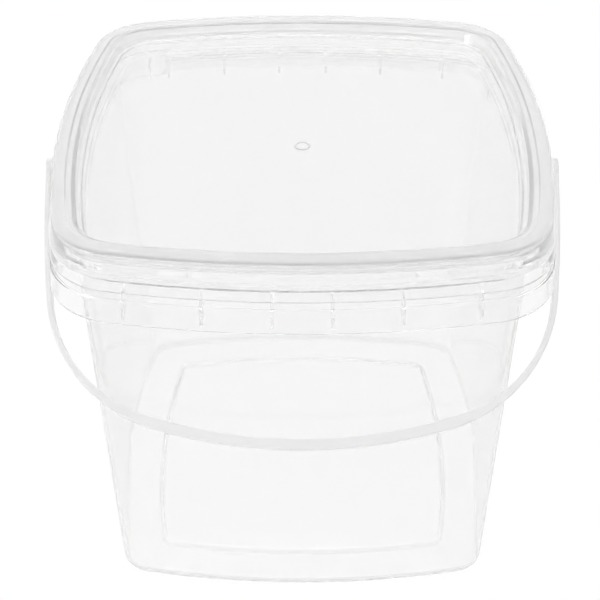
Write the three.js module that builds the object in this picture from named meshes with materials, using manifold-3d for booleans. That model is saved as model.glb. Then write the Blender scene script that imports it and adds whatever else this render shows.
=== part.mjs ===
// Square pail of clear polypropylene with a snap-fit lid, a tear-off tab and a plastic bail handle.
// Millimetres, +Z up. The origin lies on the surface that the pail stands on, under its centre.
// The handle turns at the middle of the +X and -X sides and hangs down in front, towards -Y.
import * as THREE from "three";
import { mergeVertices } from "three/addons/utils/BufferGeometryUtils.js";
import Module from "manifold-3d";

const wasm = await Module();
wasm.setup();

// Plan of the pail over its neck: a square with bowed sides and round corners
const neckHalf = 90;
const neckCorner = 18.9;
const sideBow = 361.5;
const tightCorner = 4;

// Pail: wall, foot and rim
const rimHeight = 177.9;
const pailWall = 1.4;
const wallTaper = 5.9;
const footRadius = 3.6;
const footRecess = 2.4;
const footPanelInset = 19.4;
const footPanelStep = 1.6;
const beadReach = 5.2;
const beadDepth = 5.3;
const mouthFlare = 1.6;
const mouthDepth = 2;

// Collar round the pail, under the lid's skirt, with gusset ribs behind it
const collarDrop = 16.1;
const collarDepth = 10.3;
const collarWall = 1.2;
const collarStep = 0.4;
const collarFlare = 0.7;
const shelfRise = 1.2;
const shelfRound = 1.2;
const ribWall = 1;
const ribStop = 2;
const ribPlaceShares = [-0.71, -0.398, -0.119, 0.119, 0.398, 0.71];

// Tear-off tab in a notch of the collar, at the back left corner
const tabStartShare = 0.689;
const tabWall = 1.4;
const tabDepth = 6.6;
const tabLip = 2.6;
const tabCorner = 4;
const tabStrutShare = 0.77;

// Lid
const lidWall = 1.2;
const skirtRoom = 0.6;
const skirtFlare = 1.9;
const skirtGap = 2.7;
const rimRound = 2.5;
const rimStep = 0.6;
const rimLand = 2.9;
const rimShoulder = 2;
const shoulderDrop = 1.8;
const recessDepth = 11.4;
const ledgeDrop = 5;
const ledgeWidth = 0.8;
const plugInset = 2.2;
const plugDraft = 0.5;
const plugRound = 1.4;
const catchShare = 0.8;
const catchLead = 1.4;
const gateRadius = 3.2;
const gateRise = 0.4;

// Bail handle
const pegRadius = 2;
const headRadius = 2.7;
const headWall = 1.3;
const padWall = 1.2;
const padHalf = 5;
const strapRun = 1.2;
const plateRadius = 4.2;
const plateWall = 2.8;
const armWall = 2.1;
const armWidth = 6;
const gripWall = 4.4;
const gripWidth = 2.6;
const strapChamfer = 0.5;
const gripTurn = 17.3;
const elbowTurn = 83.3;
const gripBowShare = 1.922;
const armBowLeastShare = 1;
const armBowMostShare = 12;
const sweepTilt = 30;
const steepTilt = 60;

// Clearances between separate pieces, and the overrun of cutting shapes
const seatGap = 0.3;
const pegGap = 0.3;
const strapGap = 0.5;
const overrun = 5;

// Steps round the plan and along curves
const sideSteps = 8;
const cornerSteps = 6;
const roundSteps = 3;
const roundSides = 24;
const bailSteps = 12;
const tiltSteps = 40;
const halvings = 40;

// Heights and half widths that follow from the driving sizes
const footHalf = neckHalf - wallTaper;
const beadFoot = rimHeight - beadDepth;
const beadHalf = neckHalf + beadReach;
const bowCentre = neckHalf - sideBow;
const lidTop = rimHeight + seatGap + lidWall + rimStep;
const lidHalf = beadHalf + skirtRoom + lidWall;
const skirtHalf = lidHalf + skirtFlare;
const collarTop = rimHeight - collarDrop;
const collarFoot = collarTop - collarDepth;
const collarTopHalf = skirtHalf + collarStep;
const collarHalf = collarTopHalf + collarFlare;
const skirtFoot = collarTop + skirtGap;
const tabTop = skirtFoot - seatGap;
const tabStart = neckHalf * tabStartShare;
const pivotHeight = collarTop - collarWall - headRadius;
const span = collarHalf + strapRun + plateWall - armWall / 2;

function wallHalf(z) {
  return footHalf + (wallTaper * (z - footRadius)) / (beadFoot - footRadius);
}

function collarHalfAt(z) {
  return collarTopHalf + (collarFlare * (collarTop - z)) / collarDepth;
}

// Every outline is an offset of the neck's: the sides keep their centre, and so do the corners.
function cornerPlace(half, corner) {
  const reach = half - bowCentre - corner;
  return (bowCentre + Math.sqrt(2 * reach ** 2 - bowCentre ** 2)) / 2;
}

function outline(half) {
  const corner = Math.max(neckCorner + half - neckHalf, tightCorner);
  const bow = half - bowCentre;
  const place = cornerPlace(half, corner);
  const turn = Math.atan2(place, place - bowCentre);
  const quarter = [];
  for (let i = 0; i < sideSteps / 2; i += 1) {
    const a = (turn * i) / (sideSteps / 2);
    quarter.push([bowCentre + bow * Math.cos(a), bow * Math.sin(a)]);
  }
  for (let i = 0; i <= cornerSteps; i += 1) {
    const a = turn + ((Math.PI / 2 - 2 * turn) * i) / cornerSteps;
    quarter.push([place + corner * Math.cos(a), place + corner * Math.sin(a)]);
  }
  for (let i = 1; i < sideSteps / 2; i += 1) {
    const a = turn * (1 - i / (sideSteps / 2));
    quarter.push([bow * Math.sin(a), bowCentre + bow * Math.cos(a)]);
  }
  const points = [];
  for (let q = 0; q < 4; q += 1) {
    const c = Math.round(Math.cos((q * Math.PI) / 2));
    const s = Math.round(Math.sin((q * Math.PI) / 2));
    for (const [x, y] of quarter) points.push([x * c - y * s, x * s + y * c]);
  }
  return points;
}

// How far out a side of the given half width stands, at a distance along it from its middle
function sideAt(half, along) {
  return bowCentre + Math.sqrt((half - bowCentre) ** 2 - along ** 2);
}

// The half width of the outline that passes through a point
function halfThrough(x, y) {
  const far = Math.max(Math.abs(x), Math.abs(y));
  const near = Math.min(Math.abs(x), Math.abs(y));
  const place = cornerPlace(neckHalf, neckCorner);
  const turn = Math.atan2(place, place - bowCentre);
  if (Math.atan2(near, far - bowCentre) < turn) return bowCentre + Math.hypot(far - bowCentre, near);
  return neckHalf - neckCorner + Math.hypot(far - place, near - place);
}

function volumeOf(positions, faces) {
  const a = new THREE.Vector3();
  const b = new THREE.Vector3();
  const c = new THREE.Vector3();
  let sum = 0;
  for (const [i, j, k] of faces) {
    a.fromArray(positions[i]);
    b.fromArray(positions[j]);
    c.fromArray(positions[k]);
    sum += a.dot(b.cross(c));
  }
  return sum;
}

// A closed solid from a profile of [half width, height] points carried round the plan.
// A profile from axis to axis makes a dish, and one that closes on itself makes a ring.
function carryRound(profile) {
  const rows = [];
  const positions = [];
  for (const [half, z] of profile) {
    const plan = half > 0 ? outline(half) : [[0, 0]];
    rows.push(plan.map(([x, y]) => positions.push([x, y, z]) - 1));
  }
  const count = (sideSteps + cornerSteps) * 4;
  const faces = [];
  const last = profile[0][0] > 0 ? rows.length : rows.length - 1;
  for (let r = 0; r < last; r += 1) {
    const low = rows[r];
    const high = rows[(r + 1) % rows.length];
    for (let i = 0; i < count; i += 1) {
      const j = (i + 1) % count;
      if (low.length > 1) faces.push([low[i], low[j], high[i % high.length]]);
      if (high.length > 1) faces.push([low[j % low.length], high[j], high[i]]);
    }
  }
  const outward = volumeOf(positions, faces) > 0;
  const geometry = new THREE.BufferGeometry();
  geometry.setAttribute("position", new THREE.Float32BufferAttribute(positions.flat(), 3));
  geometry.setIndex(faces.flatMap(([i, j, k]) => (outward ? [i, j, k] : [i, k, j])));
  return geometry;
}

function solidOf(geometry) {
  const bare = geometry.clone();
  bare.deleteAttribute("normal");
  bare.deleteAttribute("uv");
  const merged = mergeVertices(bare);
  const mesh = new wasm.Mesh({
    numProp: 3,
    vertProperties: Float32Array.from(merged.attributes.position.array),
    triVerts: Uint32Array.from(merged.index.array),
  });
  return new wasm.Manifold(mesh);
}

function geometryOf(solid) {
  const mesh = solid.getMesh();
  const geometry = new THREE.BufferGeometry();
  geometry.setAttribute("position", new THREE.Float32BufferAttribute(mesh.vertProperties, 3));
  geometry.setIndex(Array.from(mesh.triVerts));
  const faceted = geometry.toNonIndexed();
  faceted.computeVertexNormals();
  return faceted;
}

// A box between two corners
function block(low, high) {
  const size = high.map((v, i) => v - low[i]);
  const box = new THREE.BoxGeometry(...size);
  box.translate(...low.map((v, i) => v + size[i] / 2));
  return solidOf(box);
}

// A round bar along X between two places
function barX(radius, from, to, z) {
  const bar = new THREE.CylinderGeometry(radius, radius, Math.abs(to - from), roundSides);
  bar.rotateZ(Math.PI / 2);
  bar.translate((from + to) / 2, 0, z);
  return solidOf(bar);
}

// Points of a round between two directions, in degrees, about a centre of half width and height
function roundPoints(half, z, radius, from, to) {
  const points = [];
  for (let i = 0; i <= roundSteps; i += 1) {
    const a = THREE.MathUtils.degToRad(from + ((to - from) * i) / roundSteps);
    points.push([half + radius * Math.cos(a), z + radius * Math.sin(a)]);
  }
  return points;
}

function turned(solid, quarter) {
  return solid.rotate([0, 0, 90 * quarter]);
}

// Pail: base with a raised panel, tapered wall, chamfered mouth and the bead that the lid snaps over
function pailShell() {
  const panelHalf = footHalf - footPanelInset;
  const outside = [
    [0, footRecess],
    [panelHalf, footRecess],
    [panelHalf + footPanelStep, 0],
    ...roundPoints(footHalf - footRadius, footRadius, footRadius, -90, 0),
    [wallHalf(collarFoot), collarFoot],
    [neckHalf, beadFoot],
    [beadHalf - beadReach / 3, beadFoot + beadDepth / 5],
    [beadHalf, beadFoot + beadDepth / 3],
    [beadHalf, rimHeight - beadDepth / 4],
    [beadHalf - beadReach / 3, rimHeight],
  ];
  const inside = [
    [neckHalf - pailWall + mouthFlare, rimHeight],
    [neckHalf - pailWall, rimHeight - mouthDepth],
    [neckHalf - pailWall, beadFoot],
    [wallHalf(collarFoot) - pailWall, collarFoot],
    ...roundPoints(footHalf - footRadius, footRadius, footRadius - pailWall, 0, -90),
    [panelHalf + footPanelStep + pailWall / 2, pailWall],
    [panelHalf + pailWall / 2, footRecess + pailWall],
    [0, footRecess + pailWall],
  ];
  return solidOf(carryRound([...outside, ...inside]));
}

// Collar: a shelf from the neck and an apron that hangs from it, notched at the tab's corner
function collar() {
  const root = wallHalf(collarTop) - pailWall / 2;
  const ring = solidOf(carryRound([
    [root, collarTop + shelfRise + shelfRound],
    [root + pailWall / 2 + shelfRound, collarTop + shelfRise],
    [collarTopHalf - collarWall, collarTop],
    [collarTopHalf, collarTop - collarWall / 2],
    [collarHalf, collarFoot],
    [collarHalf - collarWall, collarFoot],
    [collarTopHalf - collarWall, collarTop - collarWall],
    [root, collarTop + shelfRise - collarWall],
  ]));
  const notchStart = tabStart - seatGap;
  const notch = block(
    [-collarHalf - overrun, notchStart, collarFoot - overrun],
    [-notchStart, collarHalf + overrun, rimHeight],
  );
  return ring.subtract(notch);
}

// One gusset between the wall and the apron of the side that faces +X, at a place along it
function gusset(along) {
  const inner = sideAt(wallHalf(collarFoot + ribStop), along) - pailWall / 2;
  const outer = sideAt(collarTopHalf, along) - collarWall / 2;
  return block(
    [inner, along - ribWall / 2, collarFoot + ribStop],
    [outer, along + ribWall / 2, collarTop - collarWall / 2],
  );
}

function pailBody() {
  let body = pailShell().add(collar());
  const notchEdge = tabStart - seatGap - ribWall / 2;
  for (let side = 0; side < 4; side += 1) {
    for (const share of ribPlaceShares) {
      const along = share * neckHalf;
      const underTab = (side === 1 && along > notchEdge) || (side === 2 && along < -notchEdge);
      if (!underTab) body = body.add(turned(gusset(along), side));
    }
  }
  body = body.add(turned(gusset(notchEdge), 1)).add(turned(gusset(-notchEdge), 2));
  const inner = collarHalfAt(pivotHeight) - collarWall - padWall;
  const outer = collarHalfAt(pivotHeight) - collarWall / 2;
  const pad = block([inner, -padHalf, collarFoot + ribStop], [outer, padHalf, collarTop - collarWall / 2]);
  const hole = barX(pegRadius + pegGap, inner - padWall, collarHalf + overrun, pivotHeight);
  for (const side of [0, 2]) {
    body = body.add(turned(pad, side)).subtract(turned(hole, side));
  }
  return body;
}

// Lid: sunk panel, ledged recess wall, stepped rim, skirt and the bead inside it
function lidBody() {
  const panel = lidTop - recessDepth;
  const plug = neckHalf - pailWall - plugInset;
  const face = plug - lidWall;
  const ledge = lidTop - ledgeDrop;
  const land = lidHalf - rimRound;
  const shoulder = land - rimLand;
  const brow = shoulder - rimShoulder;
  const under = lidTop - rimStep - lidWall;
  const catchFoot = skirtFoot + (beadFoot - skirtFoot) * catchShare;
  const top = [
    [0, panel],
    [face - plugDraft - plugRound, panel],
    [face - plugDraft, panel + plugRound],
    [face, ledge - ledgeWidth / 2],
    [face + ledgeWidth, ledge],
    [brow - rimShoulder, lidTop - shoulderDrop],
    [brow - rimShoulder / 2, lidTop - shoulderDrop / 2],
    [brow, lidTop - rimStep],
    [shoulder - rimStep, lidTop - rimStep],
    [shoulder, lidTop],
    ...roundPoints(land, lidTop - rimRound, rimRound, 90, 0),
    [skirtHalf, skirtFoot],
  ];
  const bottom = [
    [skirtHalf - lidWall, skirtFoot],
    [skirtHalf - lidWall - skirtFlare / 4, catchFoot - catchLead],
    [beadHalf + seatGap, catchFoot],
    [beadHalf + seatGap, beadFoot - seatGap],
    [lidHalf - lidWall, beadFoot + beadDepth / 3],
    [lidHalf - lidWall, under - seatGap],
    [lidHalf - lidWall - seatGap, under],
    [face + ledgeWidth + lidWall + plugInset, under],
    [plug + ledgeWidth, ledge - ledgeWidth],
    [plug, ledge - 2 * ledgeWidth],
    [plug - plugDraft, panel],
    [face - plugDraft, panel - lidWall],
    [0, panel - lidWall],
  ];
  const shell = solidOf(carryRound([...top, ...bottom]));
  const gate = new THREE.CylinderGeometry(gateRadius, gateRadius, lidWall / 2 + gateRise, roundSides);
  gate.rotateX(Math.PI / 2);
  gate.translate(0, 0, panel + gateRise - (lidWall / 2 + gateRise) / 2);
  return shell.add(solidOf(gate));
}

// Tear-off tab: a piece of apron with a lip, end walls and a strut, rounded at its two lower corners
function tearTab() {
  const tall = tabTop - collarFoot;
  const ringBetween = (depth, low, high) => solidOf(carryRound([
    [collarHalfAt(low), low],
    [collarHalfAt(high), high],
    [collarHalfAt(high) - depth, high],
    [collarHalfAt(low) - depth, low],
  ]));
  const skin = ringBetween(tabWall, collarFoot, tabTop);
  const lip = ringBetween(tabLip + tabWall, collarFoot, collarFoot + tabWall);
  const deep = ringBetween(tabDepth, collarFoot, collarTop);
  const reach = collarHalf + overrun;
  let tab = skin.add(lip);
  for (const place of [tabStart, neckHalf * tabStrutShare]) {
    const back = block([-place - ribWall, 0, 0], [-place, reach, rimHeight]);
    const left = block([-reach, place, 0], [0, place + ribWall, rimHeight]);
    tab = tab.add(deep.intersect(back.add(left)));
  }
  const face = new THREE.Shape();
  face.moveTo(0, tall + overrun);
  face.lineTo(0, tabCorner);
  face.absarc(tabCorner, tabCorner, tabCorner, Math.PI, Math.PI * 1.5, false);
  face.lineTo(reach, 0);
  face.lineTo(reach, tall + overrun);
  face.closePath();
  const prism = new THREE.ExtrudeGeometry(face, {
    depth: reach,
    bevelEnabled: false,
    curveSegments: roundSteps,
  });
  prism.rotateX(Math.PI / 2);
  const alongBack = prism.clone().rotateZ(Math.PI).translate(-tabStart, 0, collarFoot);
  const alongLeft = prism.clone().rotateZ(Math.PI / 2).translate(-reach, tabStart, collarFoot);
  return tab.intersect(solidOf(alongBack)).intersect(solidOf(alongLeft));
}

// Centreline of one half of the bail in its own plane, from the middle of the grip to the pivot.
// Each point has its distance across, its distance from the pivots' axis and its heading in degrees.
function bailLine(armBow) {
  const gripBow = gripBowShare * span;
  const grip = THREE.MathUtils.degToRad(gripTurn);
  const elbow = THREE.MathUtils.degToRad(elbowTurn);
  const across = span - gripBow * Math.sin(grip) - armBow * (1 - Math.sin(elbow));
  const elbowBow = across / (Math.sin(elbow) - Math.sin(grip));
  const reach = gripBow * (1 - Math.cos(grip))
    + elbowBow * (Math.cos(grip) - Math.cos(elbow)) + armBow * Math.cos(elbow);
  const arcs = [[gripBow, 0, gripTurn], [elbowBow, gripTurn, elbowTurn], [armBow, elbowTurn, 90]];
  const points = [{ x: 0, s: reach, heading: 0 }];
  for (const [bow, from, to] of arcs) {
    const start = points[points.length - 1];
    const a = THREE.MathUtils.degToRad(from);
    for (let i = 1; i <= bailSteps; i += 1) {
      const heading = from + ((to - from) * i) / bailSteps;
      const b = THREE.MathUtils.degToRad(heading);
      const x = start.x + bow * (Math.sin(b) - Math.sin(a));
      const s = start.s - bow * (Math.cos(a) - Math.cos(b));
      points.push({ x, s, heading });
    }
  }
  return points;
}

// The strap is thin and wide at the arms, and thick and narrow at the grip.
function strapSize(heading) {
  const left = THREE.MathUtils.clamp((elbowTurn - heading) / (elbowTurn - gripTurn), 0, 1);
  return {
    wall: armWall + (gripWall - armWall) * left ** 2,
    width: armWidth + (gripWidth - armWidth) * left,
  };
}

// Half width of the closed pail's outside at a height
function outsideHalf(z) {
  if (z < collarFoot) return wallHalf(z);
  if (z < skirtFoot) return collarHalfAt(z);
  if (z < lidTop) return skirtHalf - (skirtFlare * (z - skirtFoot)) / (lidTop - skirtFoot);
  return 0;
}

// The least gap between the strap and the pail when the bail hangs at a tilt below level
function strapRoom(line, tilt) {
  let room = collarHalf;
  for (const { x, s, heading } of line) {
    const { wall, width } = strapSize(heading);
    const a = THREE.MathUtils.degToRad(heading);
    const innerX = x - (Math.sin(a) * wall) / 2;
    const innerS = s - (Math.cos(a) * wall) / 2;
    for (const edge of [-width / 2, 0, width / 2]) {
      const y = -innerS * Math.cos(tilt) - edge * Math.sin(tilt);
      const z = pivotHeight - innerS * Math.sin(tilt) + edge * Math.cos(tilt);
      room = Math.min(room, halfThrough(innerX, y) - outsideHalf(z));
    }
  }
  return room;
}

// Halves the stretch between a value that fits and one that doesn't, and gives the last that fits.
function lastThatFits(fits, good, bad) {
  let kept = good;
  let lost = bad;
  for (let i = 0; i < halvings; i += 1) {
    const middle = (kept + lost) / 2;
    if (fits(middle)) kept = middle;
    else lost = middle;
  }
  return kept;
}

// The arms reach out as little as lets the strap pass the corners of the collar and the lid.
function passesCorners(armBow) {
  const line = bailLine(armBow);
  const lowest = Math.asin((pivotHeight - collarFoot) / neckHalf);
  const highest = THREE.MathUtils.degToRad(sweepTilt);
  for (let i = 0; i <= tiltSteps; i += 1) {
    const tilt = lowest - ((lowest + highest) * i) / tiltSteps;
    if (strapRoom(line, tilt) < strapGap) return false;
  }
  return true;
}

const armBow = lastThatFits(passesCorners, armBowMostShare * span, armBowLeastShare * span);
const strapLine = bailLine(armBow);

// The bail hangs until its arms come to lean on the pail's front corners.
const hangs = (tilt) => strapRoom(strapLine, THREE.MathUtils.degToRad(tilt)) > strapGap / 2;
const restTilt = lastThatFits(hangs, 0, steepTilt);

// Bail in its own plane: it reaches towards -Y, and its thickness is along Z
function bailBody() {
  const half = strapLine;
  const mirrored = half.slice(1).map((p) => ({ x: -p.x, s: p.s, heading: -p.heading })).reverse();
  const line = [...mirrored, ...half];
  const rings = line.map(({ x, s, heading }) => {
    const { wall, width } = strapSize(Math.abs(heading));
    const a = THREE.MathUtils.degToRad(heading);
    const w = wall / 2;
    const h = width / 2;
    const section = [
      [w - strapChamfer, -h], [w, strapChamfer - h], [w, h - strapChamfer], [w - strapChamfer, h],
      [strapChamfer - w, h], [-w, h - strapChamfer], [-w, strapChamfer - h], [strapChamfer - w, -h],
    ];
    return section.map(([out, up]) => [x + Math.sin(a) * out, -s - Math.cos(a) * out, up]);
  });
  const positions = rings.flat();
  const sides = rings[0].length;
  const faces = [];
  for (let r = 0; r + 1 < rings.length; r += 1) {
    for (let i = 0; i < sides; i += 1) {
      const j = (i + 1) % sides;
      const base = r * sides;
      faces.push([base + i, base + j, base + sides + i], [base + j, base + sides + j, base + sides + i]);
    }
  }
  const end = (rings.length - 1) * sides;
  for (let i = 1; i + 1 < sides; i += 1) {
    faces.push([0, i + 1, i], [end, end + i, end + i + 1]);
  }
  const outward = volumeOf(positions, faces) > 0;
  const strap = new THREE.BufferGeometry();
  strap.setAttribute("position", new THREE.Float32BufferAttribute(positions.flat(), 3));
  strap.setIndex(faces.flatMap(([i, j, k]) => (outward ? [i, j, k] : [i, k, j])));
  let bail = solidOf(strap);
  const plateFace = collarHalf + strapRun;
  const padFace = collarHalfAt(pivotHeight) - collarWall - padWall - seatGap;
  for (const side of [-1, 1]) {
    bail = bail.add(barX(plateRadius, side * plateFace, side * (plateFace + plateWall), 0));
    bail = bail.add(barX(pegRadius, side * (padFace - headWall / 2), side * (plateFace + plateWall / 2), 0));
    bail = bail.add(barX(headRadius, side * (padFace - headWall), side * padFace, 0));
  }
  return bail;
}

function clearPlastic(colour, roughness, opacity) {
  return new THREE.MeshStandardMaterial({
    color: colour,
    roughness,
    metalness: 0,
    transparent: true,
    opacity,
  });
}

function piece(name, solid, material) {
  const mesh = new THREE.Mesh(geometryOf(solid), material);
  mesh.name = name;
  return mesh;
}

const pail = new THREE.Group();
pail.add(piece("pail_body", pailBody(), clearPlastic(0xeef1f1, 0.16, 0.35)));
pail.add(piece("lid", lidBody(), clearPlastic(0xf0f3f3, 0.16, 0.35)));
pail.add(piece("tear_tab", tearTab(), clearPlastic(0xeef1f1, 0.18, 0.35)));
const handle = piece("handle", bailBody(), clearPlastic(0xe9ecec, 0.35, 0.75));
handle.position.set(0, 0, pivotHeight);
handle.rotation.x = THREE.MathUtils.degToRad(restTilt);
pail.add(handle);

export default pail;
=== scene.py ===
import math

import bmesh
import bpy
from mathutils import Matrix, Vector


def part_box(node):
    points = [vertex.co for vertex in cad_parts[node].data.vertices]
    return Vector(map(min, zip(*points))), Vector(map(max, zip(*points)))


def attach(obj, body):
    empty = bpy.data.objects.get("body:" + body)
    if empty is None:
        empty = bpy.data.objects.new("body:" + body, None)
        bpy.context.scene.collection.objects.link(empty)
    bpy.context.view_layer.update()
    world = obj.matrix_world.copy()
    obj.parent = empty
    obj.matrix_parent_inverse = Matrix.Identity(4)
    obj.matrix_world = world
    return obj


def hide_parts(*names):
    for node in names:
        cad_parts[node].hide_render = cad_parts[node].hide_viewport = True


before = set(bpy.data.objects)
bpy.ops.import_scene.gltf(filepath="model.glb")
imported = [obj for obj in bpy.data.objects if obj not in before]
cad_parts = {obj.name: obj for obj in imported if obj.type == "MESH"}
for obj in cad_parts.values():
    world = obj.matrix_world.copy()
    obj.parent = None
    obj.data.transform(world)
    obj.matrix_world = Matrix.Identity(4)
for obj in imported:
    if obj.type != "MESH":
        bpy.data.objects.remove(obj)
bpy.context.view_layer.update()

# The pail
# One thin-walled injection moulding of clear polypropylene, with a raised panel in its base, a tapered
# wall with bowed sides, a neck, and the bead round its mouth that the lid snaps over.
MM = 0.001
pail_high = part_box("pail_body")[1]
collar_half = pail_high.x / MM
rim_height = pail_high.z / MM
neck_half = 90.0
neck_corner = 18.9
side_bow = 361.5
tight_corner = 4.0
core_half = 20.0
wall = 1.4
wall_taper = 5.9
foot_radius = 3.6
foot_lean = 0.1
foot_recess = 2.4
foot_panel_inset = 19.4
foot_panel_step = 1.6
bead_reach = 5.2
bead_depth = 5.3
mouth_flare = 1.6
mouth_depth = 2.0
collar_drop = 16.1
collar_depth = 10.3
edge_round = 0.4
soft_round = 0.6
bead_round = 0.8
bend_round = 1.2
broad_round = 1.6
most_cut_share = 0.45
side_steps = 24
corner_steps = 18
fine_steps = 5
loop_step = 9.0
edge_loop = 0.3

bow_centre = neck_half - side_bow
foot_half = neck_half - wall_taper
bead_foot = rim_height - bead_depth
bead_half = neck_half + bead_reach
collar_top = rim_height - collar_drop
collar_foot = collar_top - collar_depth


def wall_half(z):
    return foot_half + wall_taper * (z - foot_radius) / (bead_foot - foot_radius)


def outline(half):
    """Points of a square with bowed sides and round corners, each outline an offset of the neck's."""
    if half < core_half:
        return [(x * half / core_half, y * half / core_half) for x, y in outline(core_half)]
    corner = max(neck_corner + half - neck_half, tight_corner)
    bow = half - bow_centre
    reach = bow - corner
    place = (bow_centre + math.sqrt(2 * reach**2 - bow_centre**2)) / 2
    turn = math.atan2(place, place - bow_centre)
    quarter = []
    for i in range(side_steps // 2):
        a = turn * i / (side_steps // 2)
        quarter.append((bow_centre + bow * math.cos(a), bow * math.sin(a)))
    for i in range(corner_steps + 1):
        a = turn + (math.pi / 2 - 2 * turn) * i / corner_steps
        quarter.append((place + corner * math.cos(a), place + corner * math.sin(a)))
    for i in range(1, side_steps // 2):
        a = turn * (1 - i / (side_steps // 2))
        quarter.append((bow * math.sin(a), bow_centre + bow * math.cos(a)))
    points = list(quarter)
    for _ in range(3):
        quarter = [(-y, x) for x, y in quarter]
        points += quarter
    return points


def rounded_corner(before, here, after, radius):
    """The points of a fillet between two straight stretches, no longer than they leave room for."""
    to_before = (before - here).normalized()
    to_after = (after - here).normalized()
    half_angle = to_before.angle(to_after) / 2
    room = most_cut_share * min((before - here).length, (after - here).length)
    cut = min(radius / math.tan(half_angle), room)
    radius = cut * math.tan(half_angle)
    centre = here + (to_before + to_after).normalized() * radius / math.sin(half_angle)
    start = here + to_before * cut - centre
    end = here + to_after * cut - centre
    spread = start.angle(end)
    arc = []
    for k in range(fine_steps + 1):
        share = k / fine_steps
        a, b = math.sin((1 - share) * spread), math.sin(share * spread)
        arc.append(centre + (start * a + end * b) / math.sin(spread))
    return arc


def soften(profile, closed):
    """A profile of (half width, height, fillet radius) as points, with fillets and even loops between."""
    count = len(profile)
    rounded = []
    for i, (x, z, radius) in enumerate(profile):
        here = Vector((x, z))
        if radius > 0 and (closed or 0 < i < count - 1):
            before = Vector(profile[i - 1][:2])
            after = Vector(profile[(i + 1) % count][:2])
            rounded.append(rounded_corner(before, here, after, radius))
        else:
            rounded.append([here])
    points = []
    for i, arc in enumerate(rounded):
        points += arc
        if not closed and i == count - 1:
            break
        end = arc[-1]
        start = rounded[(i + 1) % count][0]
        length = (start - end).length
        if length > 4 * edge_loop:
            inner = length - 2 * edge_loop
            steps = math.ceil(inner / loop_step)
            points += [end.lerp(start, (edge_loop + inner * k / steps) / length) for k in range(steps + 1)]
    return points


def finished(name, mesh):
    """An object at the origin from a bmesh, with its faces turned outwards."""
    bmesh.ops.recalc_face_normals(mesh, faces=mesh.faces)
    data = bpy.data.meshes.new(name)
    mesh.to_mesh(data)
    mesh.free()
    piece = bpy.data.objects.new(name, data)
    bpy.context.scene.collection.objects.link(piece)
    return piece


def skinned(name, rows, closed=False, capped=False):
    """A closed mesh through rows of points in mm, where a row of one point is a pole."""
    mesh = bmesh.new()
    rows = [[mesh.verts.new(Vector(point) * MM) for point in row] for row in rows]
    pairs = list(zip(rows, rows[1:])) + ([(rows[-1], rows[0])] if closed else [])
    for low, high in pairs:
        count = max(len(low), len(high))
        for i in range(count):
            j = (i + 1) % count
            ring = [low[i % len(low)], low[j % len(low)], high[j % len(high)], high[i % len(high)]]
            mesh.faces.new(list(dict.fromkeys(ring)))
    if capped:
        mesh.faces.new(rows[0])
        mesh.faces.new(rows[-1])
    return finished(name, mesh)


def carried_round(name, profile, closed=False):
    """A mesh from a profile that is carried round the outline."""
    rows = []
    for half, z in soften(profile, closed):
        rows.append([(x, y, z) for x, y in outline(half)] if half > 0 else [(0, 0, z)])
    return skinned(name, rows, closed)


panel_half = foot_half - foot_panel_inset
pail = carried_round("pail_moulding", [
    (0, foot_recess, 0),
    (panel_half, foot_recess, broad_round),
    (panel_half + foot_panel_step, 0, bend_round),
    (foot_half - foot_lean, 0, foot_radius),
    (wall_half(collar_foot), collar_foot, 0),
    (neck_half, bead_foot, soft_round),
    (bead_half, bead_foot + bead_depth / 3, bead_round),
    (bead_half, rim_height - bead_depth / 4, soft_round),
    (bead_half - bead_reach / 3, rim_height, edge_round),
    (neck_half - wall + mouth_flare, rim_height, edge_round),
    (neck_half - wall, rim_height - mouth_depth, soft_round),
    (neck_half - wall, bead_foot, 0),
    (wall_half(collar_foot) - wall, collar_foot, 0),
    (foot_half - foot_lean - wall, wall, bend_round),
    (panel_half + foot_panel_step + wall / 2, wall, broad_round),
    (panel_half + wall / 2, foot_recess + wall, bend_round),
    (0, foot_recess + wall, 0),
])


def linear(colour):
    """A hex colour as linear red, green, blue and 1."""
    parts = [int(colour[i:i + 2], 16) / 255 for i in (0, 2, 4)]
    return [c / 12.92 if c <= 0.04045 else ((c + 0.055) / 1.055) ** 2.4 for c in parts] + [1.0]


def add(tree, kind, settings=None, inputs=None):
    """Adds a node, with its settings by name and its inputs by name or number as values or links."""
    node = tree.nodes.new(kind)
    for key, value in (settings or {}).items():
        setattr(node, key, value)
    for key, value in (inputs or {}).items():
        if isinstance(value, bpy.types.NodeSocket):
            tree.links.new(value, node.inputs[key])
        else:
            node.inputs[key].default_value = value
    return node


# Random-copolymer polypropylene, moulded against a polished tool: clear, with a slight milky haze.
# To the eye it is nearly invisible on white where a wall is thin, and greyer where the eye looks along a
# wall, because the plastic takes a little light on every millimetre. The haze differs between upright
# walls and level panels. In the thick rim and in the foot's round edge the grey haze is made strongest,
# and there it is partly painted shade: in the rim for the shade that its thick curves take in, at the foot
# for the shade where its edge meets the floor. There it starts at one height and is full at another. Light
# that is led along inside a wall leaks out after a few turns, through the ripple of the skin, which has a
# wave about every 36 mm.
waves_per_metre = 28.0
most_turns = 7
# Extra grey haze in the thick rim, partly painted shade there.
rim_haze_and_shade = 0.3
rim_fade = 1.0
# Extra grey haze at the foot's round edge, partly painted shade where the foot meets the floor.
foot_haze_and_shade = 0.4
foot_haze_and_shade_top = 5.5
foot_haze_and_shade_full = 2.5


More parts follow.
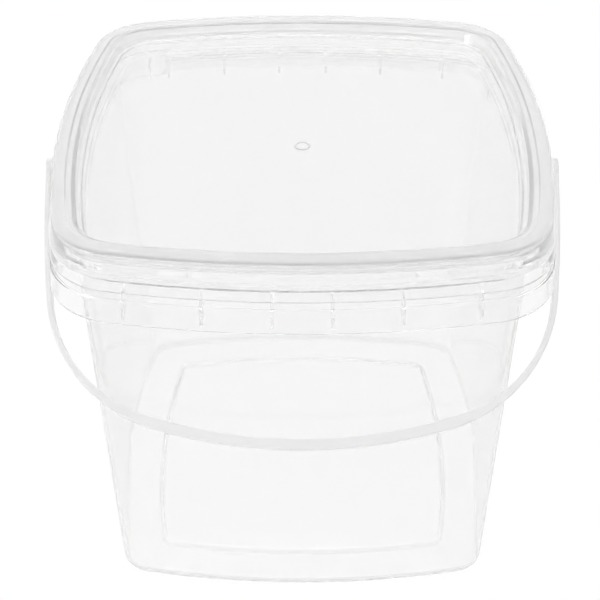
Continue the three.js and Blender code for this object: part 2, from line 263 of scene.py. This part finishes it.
def clear_plastic(name, milk, wall_haze, panel_haze, slant_haze, rim_start, rim_full, grey_per_metre):
    material = bpy.data.materials.new(name)
    material.use_nodes = True
    tree = material.node_tree
    tree.nodes.clear()
    place = add(tree, "ShaderNodeTexCoord")
    waves = add(tree, "ShaderNodeTexNoise", inputs={
        "Vector": place.outputs["Object"], "Scale": waves_per_metre, "Detail": 2.0, "Roughness": 0.4})
    polish = add(tree, "ShaderNodeMapRange", inputs={
        "Value": waves.outputs["Fac"], "From Min": 0.3, "From Max": 0.7, "To Min": 0.03, "To Max": 0.07})
    bump = add(tree, "ShaderNodeBump", inputs={
        "Strength": 0.05, "Distance": 0.001, "Height": waves.outputs["Fac"]})
    clear = add(tree, "ShaderNodeBsdfPrincipled", inputs={
        "Base Color": linear("ffffff"), "Roughness": polish.outputs[0], "IOR": 1.49,
        "Transmission Weight": 1.0, "Normal": bump.outputs["Normal"]})
    lit = add(tree, "ShaderNodeBsdfDiffuse", inputs={"Color": linear(milk)})
    lit_through = add(tree, "ShaderNodeBsdfTranslucent", inputs={"Color": linear(milk)})
    milky = add(tree, "ShaderNodeMixShader", inputs={0: 0.5, 1: lit.outputs[0], 2: lit_through.outputs[0]})
    slant = add(tree, "ShaderNodeLayerWeight", inputs={"Blend": 0.5})
    slant_squared = add(tree, "ShaderNodeMath", {"operation": "POWER"}, {
        0: slant.outputs["Facing"], 1: 2.0})
    upright = add(tree, "ShaderNodeSeparateXYZ", inputs={0: place.outputs["Normal"]})
    level = add(tree, "ShaderNodeMath", {"operation": "ABSOLUTE"}, {0: upright.outputs["Z"]})
    face_share = add(tree, "ShaderNodeMapRange", inputs={
        "Value": level.outputs[0], "To Min": wall_haze, "To Max": panel_haze})
    wall_share = add(tree, "ShaderNodeMapRange", inputs={
        "Value": slant_squared.outputs[0], "To Min": face_share.outputs[0], "To Max": slant_haze})
    parts = add(tree, "ShaderNodeSeparateXYZ", inputs={0: place.outputs["Object"]})
    # The rim's band of grey haze, partly the plastic's haze and partly painted shade.
    rim_share = add(tree, "ShaderNodeMapRange", {"interpolation_type": "SMOOTHSTEP"}, {
        "Value": parts.outputs["Z"], "From Min": rim_start * MM, "From Max": rim_full * MM,
        "To Max": rim_haze_and_shade})
    # The foot's band of grey haze, partly painted shade where the edge meets the floor.
    near_foot = add(tree, "ShaderNodeMapRange", {"interpolation_type": "SMOOTHSTEP"}, {
        "Value": parts.outputs["Z"], "From Min": foot_haze_and_shade_top * MM, "From Max": foot_haze_and_shade_full * MM,
        "To Max": foot_haze_and_shade})
    foot_share = add(tree, "ShaderNodeMapRange", inputs={
        "Value": level.outputs[0], "To Min": near_foot.outputs[0], "To Max": 0.0})
    edge_share = add(tree, "ShaderNodeMath", {"operation": "MAXIMUM"}, {
        0: rim_share.outputs[0], 1: foot_share.outputs[0]})
    share = add(tree, "ShaderNodeMath", {"operation": "MAXIMUM"}, {
        0: wall_share.outputs[0], 1: edge_share.outputs[0]})
    plastic = add(tree, "ShaderNodeMixShader", inputs={
        0: share.outputs[0], 1: clear.outputs[0], 2: milky.outputs[0]})
    lets_light = add(tree, "ShaderNodeBsdfTransparent", inputs={"Color": linear("ffffff")})
    rays = add(tree, "ShaderNodeLightPath")
    trapped = add(tree, "ShaderNodeMath", {"operation": "GREATER_THAN"}, {
        0: rays.outputs["Ray Depth"], 1: most_turns})
    let_out = add(tree, "ShaderNodeMath", {"operation": "MAXIMUM"}, {
        0: rays.outputs["Is Shadow Ray"], 1: trapped.outputs[0]})
    mix = add(tree, "ShaderNodeMixShader", inputs={
        0: let_out.outputs[0], 1: plastic.outputs[0], 2: lets_light.outputs[0]})
    depth = add(tree, "ShaderNodeVolumeAbsorption", inputs={
        "Color": linear("808080"), "Density": grey_per_metre})
    add(tree, "ShaderNodeOutputMaterial", inputs={"Surface": mix.outputs[0], "Volume": depth.outputs[0]})
    return material


clear_polypropylene = clear_plastic(
    "clear polypropylene", "e4e4e4", wall_haze=0.06, panel_haze=0.06, slant_haze=0.2,
    rim_start=bead_foot - rim_fade, rim_full=bead_foot + rim_fade, grey_per_metre=6.0)

# The collar
# A shelf round the neck with an apron hanging from it, moulded in one with the pail. It takes the pull
# of the handle, and it is left open at the back left corner, where the tear-off tab sits.
collar_wall = 1.2
collar_flare = 0.7
shelf_rise = 1.2
shelf_round = 1.2
tab_gap = 0.3
tab_start_share = 0.689
collar_round = 0.5
overrun = 5.0

collar_top_half = collar_half - collar_flare
tab_start = tab_start_share * neck_half


def block(name, low, high):
    """A block between two corners, in mm."""
    (x0, y0, z0), (x1, y1, z1) = low, high
    rows = [[(x0, y0, z), (x1, y0, z), (x1, y1, z), (x0, y1, z)] for z in (z0, z1)]
    return skinned(name, rows, capped=True)


def made_plain(piece):
    """Turns what a piece's modifiers make into its own mesh, and takes them off."""
    graph = bpy.context.evaluated_depsgraph_get()
    result = bpy.data.meshes.new_from_object(piece.evaluated_get(graph))
    piece.modifiers.clear()
    old = piece.data
    piece.data = result
    result.name = piece.name
    bpy.data.meshes.remove(old)


def combine(piece, other, operation):
    """Joins, cuts or crosses a piece with another closed mesh, which is used up."""
    step = piece.modifiers.new(operation.lower(), "BOOLEAN")
    step.operation = operation
    step.solver = "MANIFOLD"
    step.object = other
    made_plain(piece)
    bpy.data.objects.remove(other)


shelf_root = wall_half(collar_top) - wall / 2
collar = carried_round("collar", [
    (shelf_root, collar_top + shelf_rise + shelf_round, 0),
    (shelf_root + wall / 2 + shelf_round, collar_top + shelf_rise, broad_round),
    (collar_top_half - collar_wall / 2, collar_top, 0),
    (collar_top_half, collar_top - collar_wall / 2, collar_round),
    (collar_half, collar_foot, edge_round),
    (collar_half - collar_wall, collar_foot, edge_round),
    (collar_top_half - collar_wall, collar_top - collar_wall, collar_round),
    (shelf_root, collar_top + shelf_rise - collar_wall, 0),
], closed=True)
notch_start = tab_start - tab_gap
notch_end = collar_half + overrun
notch = block("notch", (-notch_end, notch_start, 0), (-notch_start, notch_end, rim_height))
combine(collar, notch, "DIFFERENCE")
combine(pail, collar, "UNION")

# The gusset ribs
# Upright webs 1 mm thick between the wall and the collar's apron, six to a side, which keep the collar
# stiff. Two of them close the collar's ends at the notch. They are part of the pail's moulding.
rib_wall = 1.0
rib_stop = 2.0
rib_place_shares = (-0.71, -0.398, -0.119, 0.119, 0.398, 0.71)

rib_low = collar_foot + rib_stop
rib_high = collar_top - collar_wall / 2
rib_in = wall_half(rib_low) - wall / 2
rib_out = collar_top_half - collar_wall / 2
notch_rib = notch_start - rib_wall / 2


def side_at(half, along):
    """How far out a side of that half width stands, at a distance along it from its middle."""
    return bow_centre + math.sqrt((half - bow_centre) ** 2 - along**2)


places, turns = [], []
for side in range(4):
    alongs = [share * neck_half for share in rib_place_shares]
    if side == 1:
        alongs = [along for along in alongs if along < notch_rib] + [notch_rib]
    if side == 2:
        alongs = [along for along in alongs if along > -notch_rib] + [-notch_rib]
    turn = side * math.pi / 2
    for along in alongs:
        out = (side_at(rib_in, along) + side_at(rib_out, along)) / 2
        x = out * math.cos(turn) - along * math.sin(turn)
        y = out * math.sin(turn) + along * math.cos(turn)
        places.append((x * MM, y * MM, (rib_low + rib_high) / 2 * MM))
        turns.append(turn)
rib_stations = bpy.data.meshes.new("rib_stations")
rib_stations.from_pydata(places, [], [])
rib_stations.attributes.new("turn", "FLOAT", "POINT").data.foreach_set("value", turns)
ribs = bpy.data.objects.new("ribs", rib_stations)
bpy.context.scene.collection.objects.link(ribs)


def start_tree(piece, name, sizes):
    """A geometry tree on a piece, with its named sizes set on the modifier by their identifiers."""
    tree = bpy.data.node_groups.new(name, "GeometryNodeTree")
    tree.interface.new_socket("Geometry", in_out="OUTPUT", socket_type="NodeSocketGeometry")
    tree.interface.new_socket("Geometry", in_out="INPUT", socket_type="NodeSocketGeometry")
    modifier = piece.modifiers.new(name, "NODES")
    for size in sizes:
        tree.interface.new_socket(size, in_out="INPUT", socket_type="NodeSocketFloat")
    modifier.node_group = tree
    for item in tree.interface.items_tree:
        if item.name in sizes:
            modifier[item.identifier] = sizes[item.name]
    return tree


tree = start_tree(ribs, "gusset ribs", {
    "Rib reach": (rib_out - rib_in) * MM, "Rib wall": rib_wall * MM,
    "Rib height": (rib_high - rib_low) * MM})
given = add(tree, "NodeGroupInput")
size = add(tree, "ShaderNodeCombineXYZ", inputs={
    0: given.outputs["Rib reach"], 1: given.outputs["Rib wall"], 2: given.outputs["Rib height"]})
rib = add(tree, "GeometryNodeMeshCube", inputs={"Size": size.outputs[0]})
turn = add(tree, "GeometryNodeInputNamedAttribute", {"data_type": "FLOAT"}, {"Name": "turn"})
facing = add(tree, "ShaderNodeCombineXYZ", inputs={2: turn.outputs["Attribute"]})
rotation = add(tree, "FunctionNodeEulerToRotation", inputs={0: facing.outputs[0]})
copies = add(tree, "GeometryNodeInstanceOnPoints", inputs={
    "Points": given.outputs["Geometry"], "Instance": rib.outputs["Mesh"], "Rotation": rotation.outputs[0]})
real = add(tree, "GeometryNodeRealizeInstances", inputs={0: copies.outputs[0]})
dressed = add(tree, "GeometryNodeSetMaterial", inputs={
    "Geometry": real.outputs[0], "Material": clear_polypropylene})
add(tree, "NodeGroupOutput", inputs={0: dressed.outputs[0]})
made_plain(ribs)
combine(pail, ribs, "UNION")

# The pivot pads
# Thicker patches behind the apron at the middle of the left and right sides, each with a hole that a
# peg of the handle snaps into. They are part of the pail's moulding too.
pad_half = 5.0
pad_wall = 1.2
head_radius = 2.7
hole_radius = 2.3
pin_sides = 64

pivot_height = collar_top - collar_wall - head_radius
apron = collar_top_half + collar_flare * (collar_top - pivot_height) / collar_depth
pad_in = apron - collar_wall - pad_wall
pad_out = apron - collar_wall / 2


def turned(name, stations, along_x):
    """A body turned about the pivots' line or the middle axis, from (place on it, radius) stations."""
    rows = []
    for place, radius in stations:
        row = []
        for k in range(pin_sides if radius > 0 else 1):
            turn = 2 * math.pi * k / pin_sides
            a, b = radius * math.cos(turn), radius * math.sin(turn)
            row.append((place, a, pivot_height + b) if along_x else (a, b, place))
        rows.append(row)
    return skinned(name, rows)


for side in (1, -1):
    ends = sorted((side * pad_in, side * pad_out))
    pad = block("pad", (ends[0], -pad_half, rib_low), (ends[1], pad_half, rib_high))
    combine(pail, pad, "UNION")
    start, end = side * (pad_in - pad_wall), side * (collar_half + overrun)
    hole = turned("hole", [(start, 0), (start, hole_radius), (end, hole_radius), (end, 0)], True)
    combine(pail, hole, "DIFFERENCE")


def smoothed(piece, material, angle=32):
    """Smooth faces in one material, with edges kept where two faces meet at more than an angle."""
    piece.data.polygons.foreach_set("use_smooth", [True] * len(piece.data.polygons))
    piece.data.set_sharp_from_angle(angle=math.radians(angle))
    piece.data.materials.clear()
    piece.data.materials.append(material)


smoothed(pail, clear_polypropylene)
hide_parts("pail_body")
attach(pail, "pail")

# The lid
# One moulding of the same clear polypropylene, with a sunk panel that takes the foot of a pail on top.
# Its stepped rim covers the pail's rim, and a catch bead inside the skirt snaps under the pail's bead.
lid_low, lid_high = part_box("lid")
lid_top = lid_high.z / MM
skirt_half = lid_high.x / MM
skirt_foot = lid_low.z / MM
lid_wall = 1.2
skirt_flare = 1.9
rim_round = 2.5
rim_step = 0.6
rim_land = 2.9
rim_shoulder = 2.0
shoulder_drop = 1.8
recess_depth = 11.4
ledge_drop = 5.0
ledge_width = 0.8
plug_inset = 2.2
plug_draft = 0.5
plug_round = 1.4
catch_share = 0.8
catch_lead = 1.4
seat_gap = 0.3
land_round = 0.25
fine_round = 0.3
rim_inner_round = 0.5
gate_radius = 3.2
gate_rise = 0.4

lid_half = skirt_half - skirt_flare
panel = lid_top - recess_depth
plug = neck_half - wall - plug_inset
face = plug - lid_wall
ledge = lid_top - ledge_drop
shoulder = lid_half - rim_round - rim_land
brow = shoulder - rim_shoulder
under = lid_top - rim_step - lid_wall
catch_foot = skirt_foot + (bead_foot - skirt_foot) * catch_share
lean = skirt_flare / (lid_top - rim_round - skirt_foot)
lid = carried_round("lid_moulding", [
    (0, panel, 0),
    (face - plug_draft, panel, plug_round),
    (face, ledge - ledge_width / 2, edge_round),
    (face + ledge_width, ledge, fine_round),
    (brow - rim_shoulder, lid_top - shoulder_drop, soft_round),
    (brow - rim_shoulder / 2, lid_top - shoulder_drop / 2, bead_round),
    (brow, lid_top - rim_step, rim_inner_round),
    (shoulder - rim_step, lid_top - rim_step, land_round),
    (shoulder, lid_top, fine_round),
    (lid_half - lean * rim_round, lid_top, rim_round),
    (skirt_half, skirt_foot, edge_round),
    (skirt_half - lid_wall, skirt_foot, edge_round),
    (skirt_half - lid_wall - skirt_flare / 4, catch_foot - catch_lead, bead_round),
    (bead_half + seat_gap, catch_foot, soft_round),
    (bead_half + seat_gap, bead_foot - seat_gap, soft_round),
    (lid_half - lid_wall, bead_foot + bead_depth / 3, soft_round),
    (lid_half - lid_wall, under, rim_inner_round),
    (face + ledge_width + lid_wall + plug_inset, under, rim_inner_round),
    (plug + ledge_width, ledge - ledge_width, fine_round),
    (plug, ledge - 2 * ledge_width, fine_round),
    (plug - plug_draft, panel, bead_round),
    (face - plug_draft, panel - lid_wall, bead_round),
    (0, panel - lid_wall, 0),
])
gate_edge = gate_rise / 2
gate = turned("gate", [
    (panel - lid_wall / 2, 0), (panel - lid_wall / 2, gate_radius), (panel + gate_edge, gate_radius),
    (panel + gate_rise, gate_radius - gate_edge), (panel + gate_rise, gate_radius - 3 * gate_edge),
    (panel + gate_edge, gate_radius - 4 * gate_edge), (panel + gate_edge, 0)], False)
combine(lid, gate, "UNION")
clear_lid_polypropylene = clear_plastic(
    "clear lid polypropylene", "ececec", wall_haze=0.05, panel_haze=0.24, slant_haze=0.25,
    rim_start=ledge, rim_full=lid_top, grey_per_metre=4.0)
smoothed(lid, clear_lid_polypropylene)
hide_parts("lid")
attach(lid, "lid")

# The tear-off tab
# A corner of the collar that hangs on thin bridges until it is torn off to free the lid's edge.
# Clear polypropylene of the pail's own moulding, with an inward lip, end walls and two struts.
tab_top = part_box("tear_tab")[1].z / MM
tab_wall = 1.4
tab_depth = 6.6
tab_lip = 2.6
tab_corner = 4.0
tab_corner_steps = 8
tab_strut_share = 0.77
tab_strut = tab_strut_share * neck_half


def collar_half_at(z):
    return collar_top_half + collar_flare * (collar_top - z) / collar_depth


def ring_behind_face(name, depth, low, high, edge):
    """A ring behind the collar's face, between two heights."""
    return carried_round(name, [
        (collar_half_at(low), low, edge),
        (collar_half_at(high), high, edge),
        (collar_half_at(high) - depth, high, edge),
        (collar_half_at(low) - depth, low, edge),
    ], closed=True)


def end_cutter(name, along_back):
    """A prism over the tab's stretch of one side, with a round at its lower end corner."""
    side_view = [(0.0, lid_top)]
    for k in range(tab_corner_steps + 1):
        a = math.pi + math.pi / 2 * k / tab_corner_steps
        side_view.append((tab_corner * (1 + math.cos(a)), collar_foot + tab_corner * (1 + math.sin(a))))
    side_view += [(notch_end, collar_foot), (notch_end, lid_top)]
    rows = []
    for depth in (0.0, notch_end):
        rows.append([(-tab_start - u, depth, z) if along_back else (-depth, tab_start + u, z)
                     for u, z in side_view])
    return skinned(name, rows, capped=True)


tab = ring_behind_face("tab_moulding", tab_wall, collar_foot, tab_top, edge_round)
lip = ring_behind_face("lip", tab_lip + tab_wall, collar_foot, collar_foot + tab_wall, fine_round)
combine(tab, lip, "UNION")
for place in (tab_start, tab_strut):
    on_back = ((-place - rib_wall, 0), (-place, notch_end))
    on_left = ((-notch_end, place), (0, place + rib_wall))
    for low, high in (on_back, on_left):
        strut = ring_behind_face("strut", tab_depth, collar_foot, collar_top, fine_round)
        combine(strut, block("slab", (*low, 0), (*high, lid_top)), "INTERSECT")
        combine(tab, strut, "UNION")
combine(tab, end_cutter("back_end", True), "INTERSECT")
combine(tab, end_cutter("left_end", False), "INTERSECT")
smoothed(tab, clear_polypropylene)
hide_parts("tear_tab")
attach(tab, "tear_tab")

# The handle
# A bail moulded in one from natural polypropylene, wide and thin at its arms, narrow and thick at the
# grip. Its end plates carry pegs that snap through the collar, where their heads hold them.
plate_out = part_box("handle")[1].x / MM
plate_radius = 4.2
plate_wall = 2.8
peg_radius = 2.0
head_wall = 1.3
arm_wall = 2.1
arm_width = 6.0
grip_wall = 4.4
grip_width = 2.6
strap_round = 0.6
strap_round_steps = 5
# The bail's arcs and its tilt at rest are those that the CAD model works out.
grip_turn = math.radians(17.3)
elbow_turn = math.radians(83.3)
grip_bow = 197.87
arm_bow = 485.62
rest_tilt = math.radians(34.12)
bail_steps = 28
plate_edge = 0.4
grains_per_metre = 1000.0


# Natural homopolymer polypropylene, thicker and less clear than the pail: milky, with a satin skin
# from a finely blasted tool. The grain is 0.1 mm in truth, and drawn at 1 mm so that it shows.
def milky_plastic(name, tint, clearness, rough):
    material = bpy.data.materials.new(name)
    material.use_nodes = True
    tree = material.node_tree
    tree.nodes.clear()
    place = add(tree, "ShaderNodeTexCoord")
    grain = add(tree, "ShaderNodeTexNoise", inputs={
        "Vector": place.outputs["Object"], "Scale": grains_per_metre, "Detail": 2.0})
    bump = add(tree, "ShaderNodeBump", inputs={
        "Strength": 0.1, "Distance": 0.0001, "Height": grain.outputs["Fac"]})
    plastic = add(tree, "ShaderNodeBsdfPrincipled", inputs={
        "Base Color": linear(tint), "Roughness": rough, "IOR": 1.49,
        "Transmission Weight": clearness, "Normal": bump.outputs["Normal"]})
    lets_light = add(tree, "ShaderNodeBsdfTransparent", inputs={"Color": linear("e8e8e8")})
    rays = add(tree, "ShaderNodeLightPath")
    mix = add(tree, "ShaderNodeMixShader", inputs={
        0: rays.outputs["Is Shadow Ray"], 1: plastic.outputs[0], 2: lets_light.outputs[0]})
    add(tree, "ShaderNodeOutputMaterial", inputs={"Surface": mix.outputs[0]})
    return material


natural_polypropylene = milky_plastic("natural polypropylene", "e8e8e8", clearness=0.4, rough=0.3)

span = plate_out - arm_wall / 2
elbow_bow = span - grip_bow * math.sin(grip_turn) - arm_bow * (1 - math.sin(elbow_turn))
elbow_bow /= math.sin(elbow_turn) - math.sin(grip_turn)
reach = grip_bow * (1 - math.cos(grip_turn)) + arm_bow * math.cos(elbow_turn)
reach += elbow_bow * (math.cos(grip_turn) - math.cos(elbow_turn))
line = [(0.0, reach, 0.0)]
for bow, start, end in (
        (grip_bow, 0.0, grip_turn), (elbow_bow, grip_turn, elbow_turn), (arm_bow, elbow_turn, math.pi / 2)):
    x, s, _ = line[-1]
    for i in range(1, bail_steps + 1):
        heading = start + (end - start) * i / bail_steps
        line.append((x + bow * (math.sin(heading) - math.sin(start)),
                     s - bow * (math.cos(start) - math.cos(heading)), heading))
line = [(-x, s, heading) for x, s, heading in reversed(line[1:])] + line
centreline = bpy.data.meshes.new("bail_centreline")
links = [(i, i + 1) for i in range(len(line) - 1)]
centreline.from_pydata([(x * MM, -s * MM, 0) for x, s, _ in line], links, [])
grip_shares = [min(max((elbow_turn - h) / (elbow_turn - grip_turn), 0.0), 1.0) for _, _, h in line]
centreline.attributes.new("grip share", "FLOAT", "POINT").data.foreach_set("value", grip_shares)
bail = bpy.data.objects.new("bail_moulding", centreline)
bpy.context.scene.collection.objects.link(bail)

# The strap is swept along its flat centreline as thin and wide as at the arms, grown towards the grip,
# and then tilted about the pivots to where it hangs.
tree = start_tree(bail, "bail strap", {
    "Arm wall": arm_wall * MM, "Arm width": arm_width * MM,
    "Wall growth": (grip_wall - arm_wall) / 2 * MM, "Width growth": (grip_width - arm_width) / 2 * MM,
    "Edge round": strap_round * MM, "Tilt": rest_tilt, "Pivot height": pivot_height * MM})
given = add(tree, "NodeGroupInput")
route = add(tree, "GeometryNodeMeshToCurve", inputs={0: given.outputs["Geometry"]})
tangent = add(tree, "GeometryNodeInputTangent")
outward = add(tree, "ShaderNodeVectorMath", {"operation": "CROSS_PRODUCT"}, {
    0: tangent.outputs[0], 1: (0.0, 0.0, 1.0)})
spot = add(tree, "GeometryNodeInputPosition")
marked_route = add(tree, "GeometryNodeCaptureAttribute", inputs={0: route.outputs[0]})
for name, source in (("spot", spot), ("outward", outward)):
    marked_route.capture_items.new("VECTOR", name)
    tree.links.new(source.outputs[0], marked_route.inputs[name])
oblong = add(tree, "GeometryNodeCurvePrimitiveQuadrilateral", inputs={
    "Width": given.outputs["Arm wall"], "Height": given.outputs["Arm width"]})
section = add(tree, "GeometryNodeFilletCurve", {"mode": "POLY"}, {
    "Curve": oblong.outputs[0], "Radius": given.outputs["Edge round"], "Count": strap_round_steps})
marked_section = add(tree, "GeometryNodeCaptureAttribute", inputs={0: section.outputs[0]})
marked_section.capture_items.new("VECTOR", "section")
tree.links.new(spot.outputs[0], marked_section.inputs["section"])
sweep = add(tree, "GeometryNodeCurveToMesh", inputs={
    "Curve": marked_route.outputs[0], "Profile Curve": marked_section.outputs[0], "Fill Caps": True})
share = add(tree, "GeometryNodeInputNamedAttribute", {"data_type": "FLOAT"}, {"Name": "grip share"})
squared = add(tree, "ShaderNodeMath", {"operation": "MULTIPLY"}, {
    0: share.outputs["Attribute"], 1: share.outputs["Attribute"]})
wall_growth = add(tree, "ShaderNodeMath", {"operation": "MULTIPLY"}, {
    0: given.outputs["Wall growth"], 1: squared.outputs[0]})
width_growth = add(tree, "ShaderNodeMath", {"operation": "MULTIPLY"}, {
    0: given.outputs["Width growth"], 1: share.outputs["Attribute"]})
growth = add(tree, "ShaderNodeCombineXYZ", inputs={0: wall_growth.outputs[0], 1: width_growth.outputs[0]})
sides = add(tree, "ShaderNodeVectorMath", {"operation": "SIGN"}, {0: marked_section.outputs["section"]})
grown = add(tree, "ShaderNodeVectorMath", {"operation": "MULTIPLY_ADD"}, {
    0: sides.outputs[0], 1: growth.outputs[0], 2: marked_section.outputs["section"]})
parts = add(tree, "ShaderNodeSeparateXYZ", inputs={0: grown.outputs[0]})
sideways = add(tree, "ShaderNodeVectorMath", {"operation": "SCALE"}, {
    0: marked_route.outputs["outward"], "Scale": parts.outputs[0]})
upward = add(tree, "ShaderNodeCombineXYZ", inputs={2: parts.outputs[1]})
shifted = add(tree, "ShaderNodeVectorMath", {"operation": "ADD"}, {
    0: marked_route.outputs["spot"], 1: sideways.outputs[0]})
placed = add(tree, "ShaderNodeVectorMath", {"operation": "ADD"}, {
    0: shifted.outputs[0], 1: upward.outputs[0]})
shaped = add(tree, "GeometryNodeSetPosition", inputs={
    "Geometry": sweep.outputs[0], "Position": placed.outputs[0]})
tilt = add(tree, "ShaderNodeCombineXYZ", inputs={0: given.outputs["Tilt"]})
tilt_turn = add(tree, "FunctionNodeEulerToRotation", inputs={0: tilt.outputs[0]})
lift = add(tree, "ShaderNodeCombineXYZ", inputs={2: given.outputs["Pivot height"]})
hung = add(tree, "GeometryNodeTransform", inputs={
    "Geometry": shaped.outputs[0], "Translation": lift.outputs[0], "Rotation": tilt_turn.outputs[0]})
real = add(tree, "GeometryNodeRealizeInstances", inputs={0: hung.outputs[0]})
dressed = add(tree, "GeometryNodeSetMaterial", inputs={
    "Geometry": real.outputs[0], "Material": natural_polypropylene})
add(tree, "NodeGroupOutput", inputs={0: dressed.outputs[0]})
made_plain(bail)
strap = bmesh.new()
strap.from_mesh(bail.data)
bmesh.ops.recalc_face_normals(strap, faces=strap.faces)
strap.to_mesh(bail.data)
strap.free()

# Each end plate, its peg and the peg's head are one turned body, joined to the strap.
plate_in = plate_out - plate_wall
head_out = pad_in - seat_gap
head_in = head_out - head_wall
for side in (1, -1):
    stations = [
        (head_in, 0), (head_in, head_radius - plate_edge), (head_in + plate_edge, head_radius),
        (head_out - plate_edge / 2, head_radius), (head_out, head_radius - plate_edge / 2),
        (head_out, peg_radius), (plate_in, peg_radius), (plate_in, plate_radius - plate_edge)]
    for k in range(1, 2 * fine_steps + 1):
        a = math.pi * k / (2 * fine_steps)
        corner = plate_in if a <= math.pi / 2 else plate_out - 2 * plate_edge
        radius = plate_radius - plate_edge * (1 - math.sin(a))
        stations.append((corner + plate_edge * (1 - math.cos(a)), radius))
    stations.append((plate_out, 0))
    combine(bail, turned("pivot", [(side * x, radius) for x, radius in stations], True), "UNION")
smoothed(bail, natural_polypropylene)
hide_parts("handle")
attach(bail, "handle")

# The floor and the light
# A white ground and white surroundings, as on a light table, with a broad lamp overhead and a smaller
# one to the left. What the eye sees of the ground and the room is white, also in and through the
# plastic, but for a tenth of the card's own shade, which keeps the shadow.
floor_half = 6.0
floor_gap = 0.5 * MM
card_glow_share = 0.9
room_light = 0.92

floor_mesh = bmesh.new()
bmesh.ops.create_grid(floor_mesh, x_segments=1, y_segments=1, size=floor_half)
floor = finished("floor", floor_mesh)
floor.location.z = -floor_gap


def seen_directly(tree):
    """Is 1 for what the camera sees, by itself or in or through a glossy or clear surface."""
    rays = add(tree, "ShaderNodeLightPath")
    either = add(tree, "ShaderNodeMath", {"operation": "MAXIMUM"}, {
        0: rays.outputs["Is Camera Ray"], 1: rays.outputs["Is Transmission Ray"]})
    return add(tree, "ShaderNodeMath", {"operation": "MAXIMUM"}, {
        0: either.outputs[0], 1: rays.outputs["Is Glossy Ray"]}).outputs[0]


ground = bpy.data.materials.new("white card")
ground.use_nodes = True
tree = ground.node_tree
tree.nodes.clear()
whitening = add(tree, "ShaderNodeMath", {"operation": "MULTIPLY"}, {
    0: seen_directly(tree), 1: card_glow_share})
card = add(tree, "ShaderNodeBsdfDiffuse", inputs={"Color": linear("f8f8f8")})
glow = add(tree, "ShaderNodeEmission", inputs={"Strength": 1.0})
mix = add(tree, "ShaderNodeMixShader", inputs={
    0: whitening.outputs[0], 1: card.outputs[0], 2: glow.outputs[0]})
add(tree, "ShaderNodeOutputMaterial", inputs={"Surface": mix.outputs[0]})
floor.data.materials.append(ground)

world = bpy.data.worlds.new("white room")
bpy.context.scene.world = world
world.use_nodes = True
tree = world.node_tree
tree.nodes.clear()
room = add(tree, "ShaderNodeBackground", inputs={"Color": linear("ffffff"), "Strength": room_light})
backdrop = add(tree, "ShaderNodeBackground", inputs={"Color": linear("ffffff"), "Strength": 1.0})
mix = add(tree, "ShaderNodeMixShader", inputs={
    0: seen_directly(tree), 1: room.outputs[0], 2: backdrop.outputs[0]})
add(tree, "ShaderNodeOutputWorld", inputs={"Surface": mix.outputs[0]})


def soft_light(name, place, size, power):
    data = bpy.data.lights.new(name, "AREA")
    data.shape = "RECTANGLE"
    data.size, data.size_y = size
    data.energy = power
    light = bpy.data.objects.new(name, data)
    light.location = place
    light.rotation_euler = (-Vector(place)).to_track_quat("-Z", "Y").to_euler()
    bpy.context.scene.collection.objects.link(light)


soft_light("overhead", place=(0.0, 0.3, 1.6), size=(0.8, 0.8), power=4.0)
soft_light("left", place=(-1.2, -0.8, 1.0), size=(0.4, 0.6), power=4.0)

# The camera
# It stands in front and above, at the angle and distance that the pail's rim, collar and foot show.
elevation = math.radians(37.52)
distance = 0.60257
aim = Vector((0, 0, 0.09034))
picture_pixels = 600
focal_pixels = 1375.43
shift_pixels = -2.3

data = bpy.data.cameras.new("camera")
data.sensor_width = 36.0
data.lens = data.sensor_width * focal_pixels / picture_pixels
data.shift_x = shift_pixels / picture_pixels
camera = bpy.data.objects.new("camera", data)
camera.location = aim + distance * Vector((0, -math.cos(elevation), math.sin(elevation)))
camera.rotation_euler = (aim - camera.location).to_track_quat("-Z", "Y").to_euler()
bpy.context.scene.collection.objects.link(camera)
bpy.context.scene.camera = camera
bpy.context.scene.view_settings.view_transform = "Standard"

# Light passes many walls of the rim before it leaves, so its paths may be long, and none is blurred after
# a diffuse turn, which would lose the light that the haze scatters inside the plastic.
tracer = bpy.context.scene.cycles
tracer.max_bounces = 128
tracer.transmission_bounces = 128
tracer.glossy_bounces = 128
tracer.diffuse_bounces = 64
tracer.blur_glossy = 0.0
tracer.transparent_max_bounces = 32
